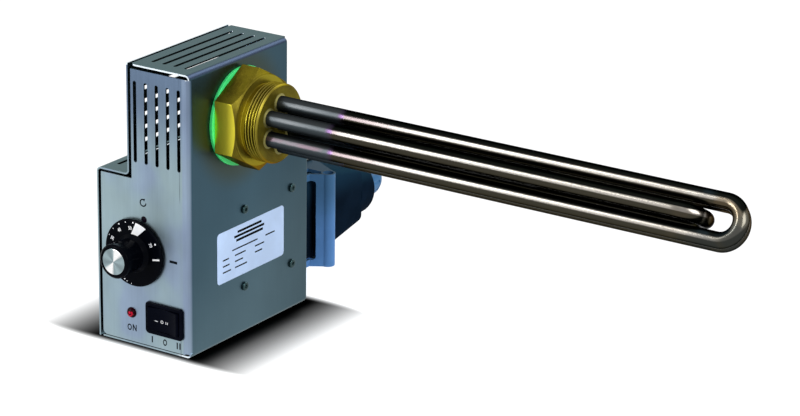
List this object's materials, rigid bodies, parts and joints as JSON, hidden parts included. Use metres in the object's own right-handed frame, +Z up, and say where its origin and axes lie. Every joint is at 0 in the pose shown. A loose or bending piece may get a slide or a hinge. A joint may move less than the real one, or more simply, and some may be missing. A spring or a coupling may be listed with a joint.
{
  "type": "screw-in electric immersion heating rod with a control box",
  "caption": "Screw-in heating rod for a water tank: hairpin loops in a brass plug, a stepped steel terminal box with a temperature dial, rocker switch and plug connector.",
  "frame": {"origin": "on the axis of the tank thread, halfway along the thread", "axes": "+X along the loops into the tank, -Y the control face, +Y the plug connector, +Z up"},
  "size_m": [0.4115, 0.2589, 0.175],
  "materials": {
    "shell_steel": "fine brushed stainless sheet",
    "fastener_steel": "plated steel",
    "plug_brass": "turned brass, slightly dulled",
    "green_gasket": "smooth green fibre gasket",
    "loop_steel": "polished heat-tinted alloy tube",
    "white_ceramic": "glazed ceramic",
    "dial_black": "glossy black moulding",
    "cap_aluminium": "spun aluminium cap",
    "lamp_red": "clear red lens, unlit",
    "dark_plastic": "black moulding",
    "pale_plastic": "pale grey moulding",
    "black_rubber": "black rubber",
    "hood_navy": "dark grey-blue powder coat",
    "lever_blue": "blue-grey moulded lever",
    "gland_blue": "light blue moulded gland"
  },
  "bodies": {
    "heater": {"contact_pins": "plug_brass", "contactor": "dark_plastic", "contactor_bracket": "fastener_steel", "cover_screws": "fastener_steel", "earth_stud": "fastener_steel", "end_beads": "white_ceramic", "face_gasket": "green_gasket", "face_screws": "fastener_steel", "flange_gasket": "black_rubber", "front_heating_loop": "loop_steel", "gland_body": "gland_blue", "gland_nut": "gland_blue", "gland_seal": "black_rubber", "hood_insert": "pale_plastic", "housing_screws": "fastener_steel", "inner_heating_loop": "loop_steel", "lamp_holder": "dark_plastic", "lamp_lens": "lamp_red", "lever_pins": "fastener_steel", "limiter_body": "dark_plastic", "lock_nut": "plug_brass", "main_shell": "shell_steel", "plug_hood": "hood_navy", "rear_heating_loop": "loop_steel", "screw_plug": "plug_brass", "sensor_pocket": "loop_steel", "side_cover": "shell_steel", "socket_housing": "hood_navy", "socket_insert": "pale_plastic", "switch_housing": "dial_black", "terminal_block": "pale_plastic", "terminal_pins": "fastener_steel", "thermostat_body": "dark_plastic"},
    "dial": {"control_dial": "dial_black", "dial_cap": "cap_aluminium", "thermostat_spindle": "fastener_steel"},
    "rocker": {"switch_rocker": "dial_black"},
    "reset": {"reset_button": "dial_black"},
    "lever": {"locking_lever": "lever_blue"}
  },
  "joints": [
    {"name": "dial_turn", "type": "hinge", "parent": "heater", "child": "dial", "pos_m": [-0.0646, -0.049, -0.08], "axis": [0, 1, 0], "range_deg": [0, 270]},
    {"name": "rocker_tilt", "type": "hinge", "parent": "heater", "child": "rocker", "pos_m": [-0.0434, -0.0484, -0.119], "axis": [0, 0, 1], "range_deg": [-11, 11]},
    {"name": "reset_press", "type": "slide", "parent": "heater", "child": "reset", "axis": [0, 1, 0], "range_m": [0, 0.002], "stiffness_N_per_m": 400, "springref_m": -0.001},
    {"name": "lever_open", "type": "hinge", "parent": "heater", "child": "lever", "pos_m": [-0.0586, 0.116, -0.0964], "axis": [0, 0, 1], "range_deg": [0, 60]}
  ]
}
